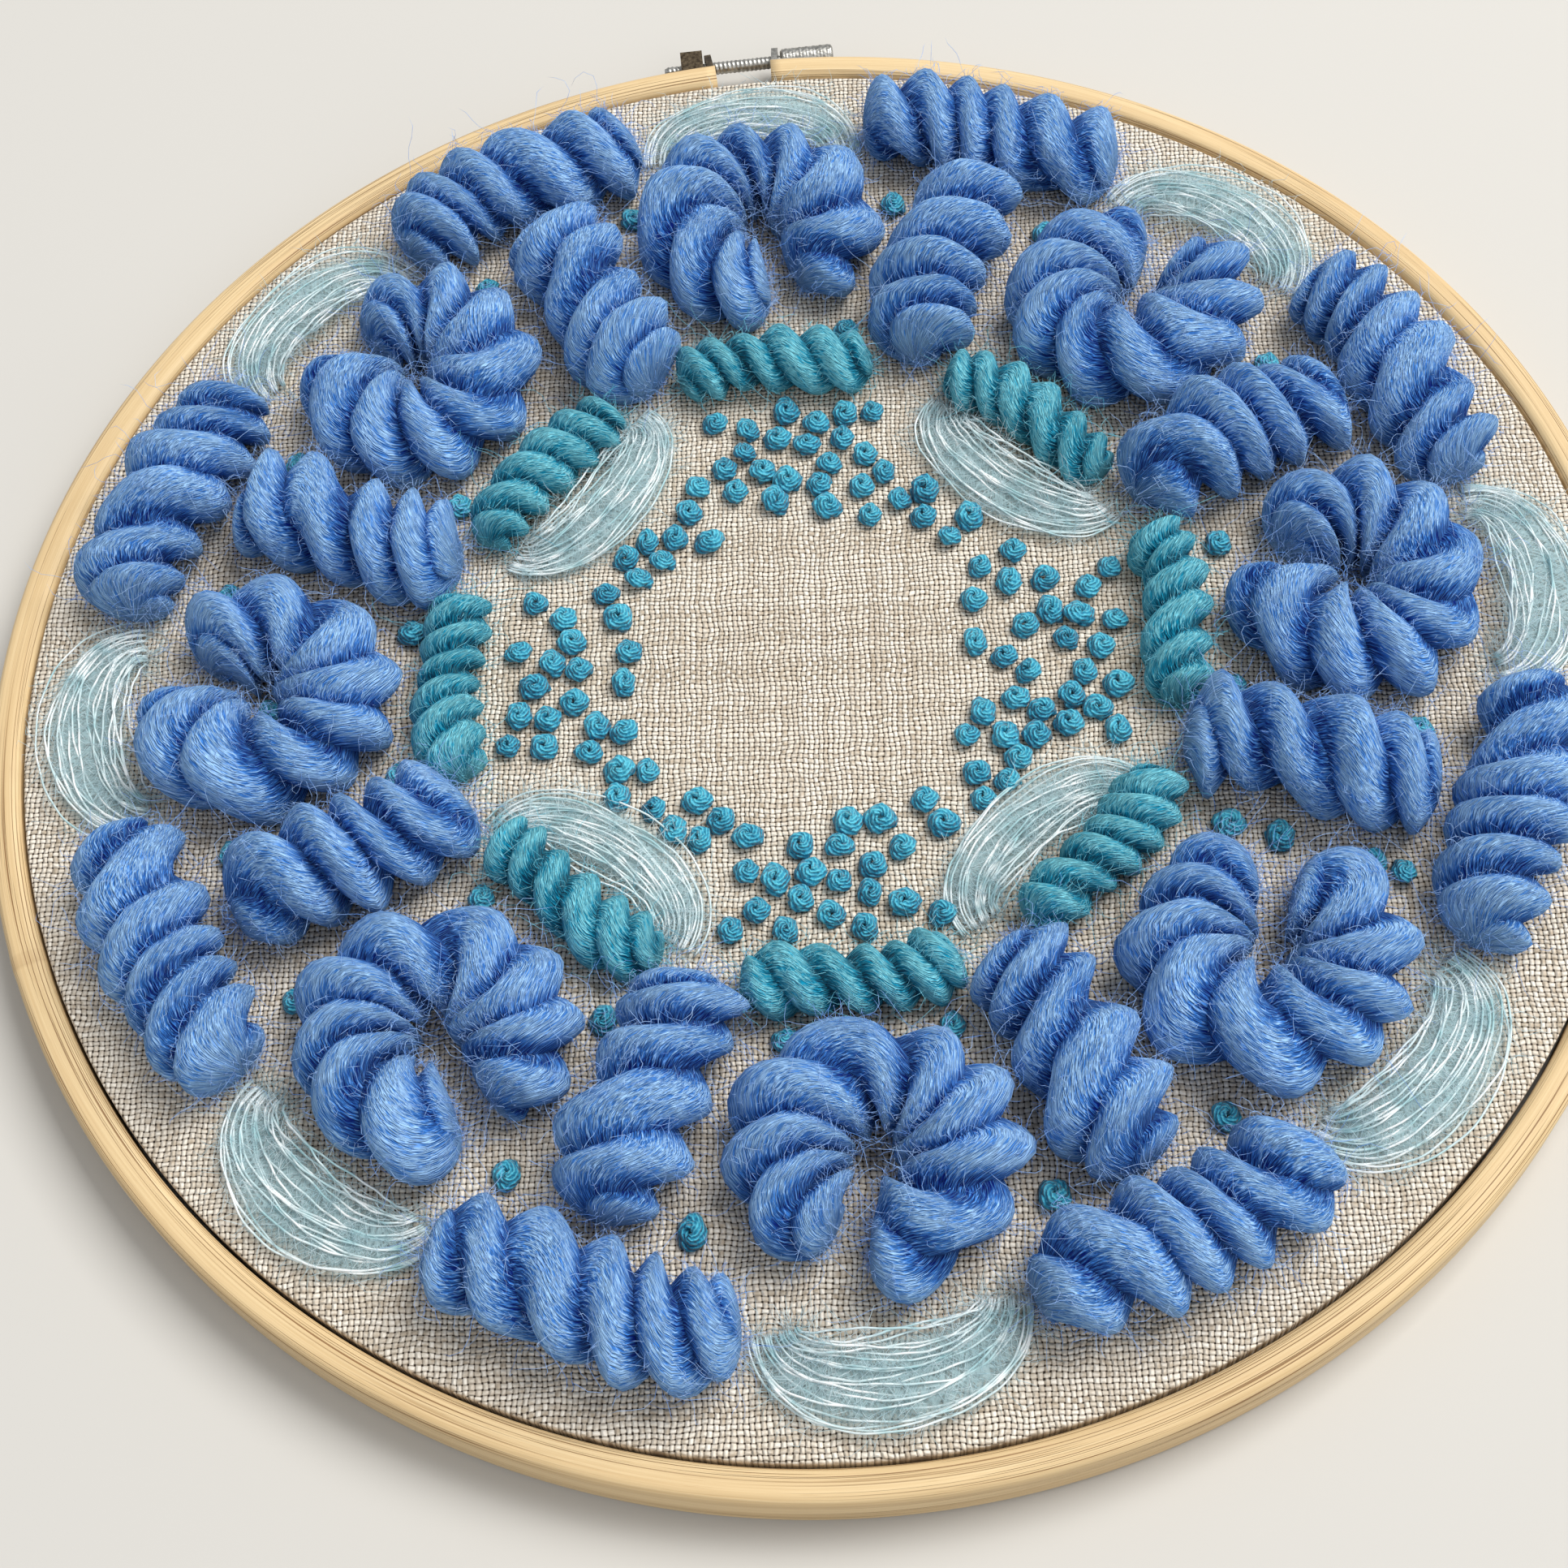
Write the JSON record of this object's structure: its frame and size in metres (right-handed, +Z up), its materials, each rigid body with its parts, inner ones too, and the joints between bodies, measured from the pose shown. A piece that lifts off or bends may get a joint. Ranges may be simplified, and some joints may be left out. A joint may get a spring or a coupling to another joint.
{
  "type": "embroidery hoop art with round bamboo hoop",
  "caption": "Linen stretched in a round bamboo hoop with a tightening screw, worked with a wreath of thick twisted wool, mohair loops and French knots.",
  "frame": {"origin": "on the surface that the hoop lies on, under the middle of the whole piece; the hoop's own centre is 3.35 mm towards -Y", "axes": "+Z up through the face of the cloth, +Y towards the tightening screw, +X to the right"},
  "size_m": [0.2642, 0.271, 0.0282],
  "materials": {
    "bamboo": "pale bare bamboo, satin, fine grain along the ring",
    "linen_cloth": "natural plain weave linen with slubs",
    "roving_blue": "matt combed wool, softly fuzzy",
    "yarn_teal": "matt wool and cotton, softly fuzzy",
    "mohair_pale": "fine brushed mohair, translucent halo",
    "steel": "plain nickelled steel",
    "dark_steel": "darkened steel"
  },
  "bodies": {
    "root": {"blue_curl_01": "roving_blue", "blue_curl_02": "roving_blue", "blue_curl_03": "roving_blue", "blue_curl_04": "roving_blue", "blue_curl_05": "roving_blue", "blue_curl_06": "roving_blue", "blue_curl_07": "roving_blue", "blue_curl_08": "roving_blue", "blue_outer_01": "roving_blue", "blue_outer_02": "roving_blue", "blue_outer_03": "roving_blue", "blue_outer_04": "roving_blue", "blue_outer_05": "roving_blue", "blue_outer_06": "roving_blue", "blue_outer_07": "roving_blue", "blue_outer_08": "roving_blue", "blue_spoke_01": "roving_blue", "blue_spoke_02": "roving_blue", "blue_spoke_03": "roving_blue", "blue_spoke_04": "roving_blue", "blue_spoke_05": "roving_blue", "blue_spoke_06": "roving_blue", "blue_spoke_07": "roving_blue", "blue_spoke_08": "roving_blue", "hoop_inner": "bamboo", "hoop_outer": "bamboo", "linen": "linen_cloth", "lug_left": "dark_steel", "lug_right": "steel", "mohair_01": "mohair_pale", "mohair_02": "mohair_pale", "mohair_03": "mohair_pale", "mohair_04": "mohair_pale", "mohair_05": "mohair_pale", "mohair_06": "mohair_pale", "mohair_07": "mohair_pale", "mohair_08": "mohair_pale", "mohair_09": "mohair_pale", "mohair_10": "mohair_pale", "mohair_11": "mohair_pale", "mohair_12": "mohair_pale", "screw": "steel", "screw_nut": "dark_steel", "teal_01": "yarn_teal", "teal_02": "yarn_teal", "teal_03": "yarn_teal", "teal_04": "yarn_teal", "teal_05": "yarn_teal", "teal_06": "yarn_teal", "teal_07": "yarn_teal", "teal_08": "yarn_teal"}
  },
  "joints": []
}
